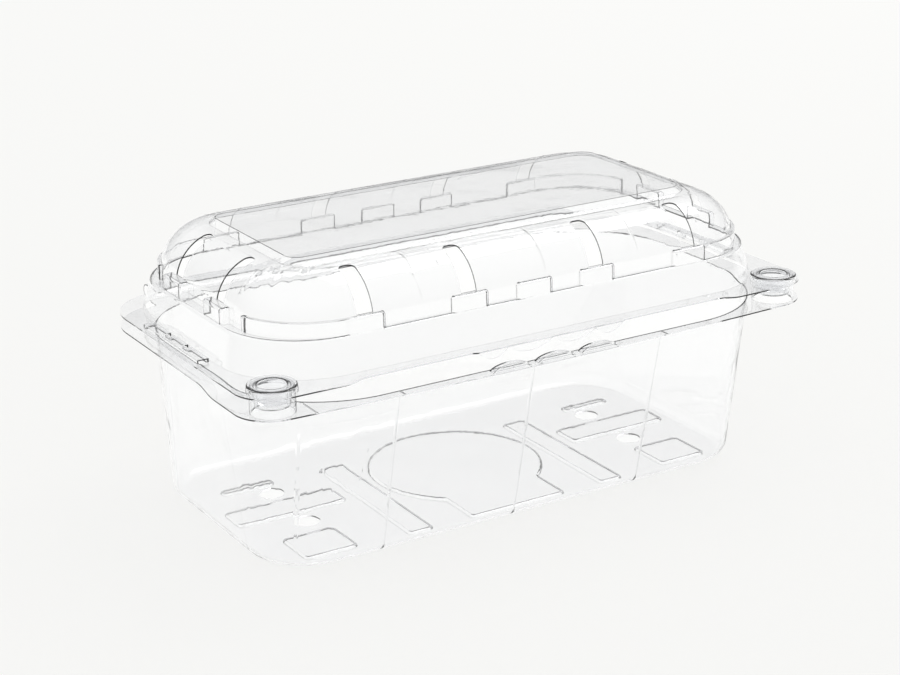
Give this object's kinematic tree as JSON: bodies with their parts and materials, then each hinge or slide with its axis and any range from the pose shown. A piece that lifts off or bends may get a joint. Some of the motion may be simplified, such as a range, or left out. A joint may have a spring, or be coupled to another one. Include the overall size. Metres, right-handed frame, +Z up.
{
  "type": "clear hinged clamshell pack",
  "caption": "Clear hinged clamshell pack for fruit: a deep tapered tray with drain holes, a domed lid with vent slots, a film hinge and snap studs that hold it shut.",
  "frame": {"origin": "on the ground under the middle of the closed pack, in the plane of the tray's floor", "axes": "+X along the pack's length, -Y towards the finger grip, +Y towards the film hinge, +Z up"},
  "size_m": [0.187, 0.1128, 0.0851],
  "materials": {
    "clear_sheet": "clear gloss",
    "hinge_film": "clear gloss"
  },
  "bodies": {
    "tray": {"tray": "clear_sheet", "living_hinge": "hinge_film"},
    "lid": {"lid": "clear_sheet"}
  },
  "joints": [
    {"name": "lid_hinge", "type": "hinge", "parent": "tray", "child": "lid", "pos_m": [0, 0.05418, 0.0559], "axis": [-1, 0, 0], "range_deg": [0, 180], "deforming": ["living_hinge"]}
  ]
}
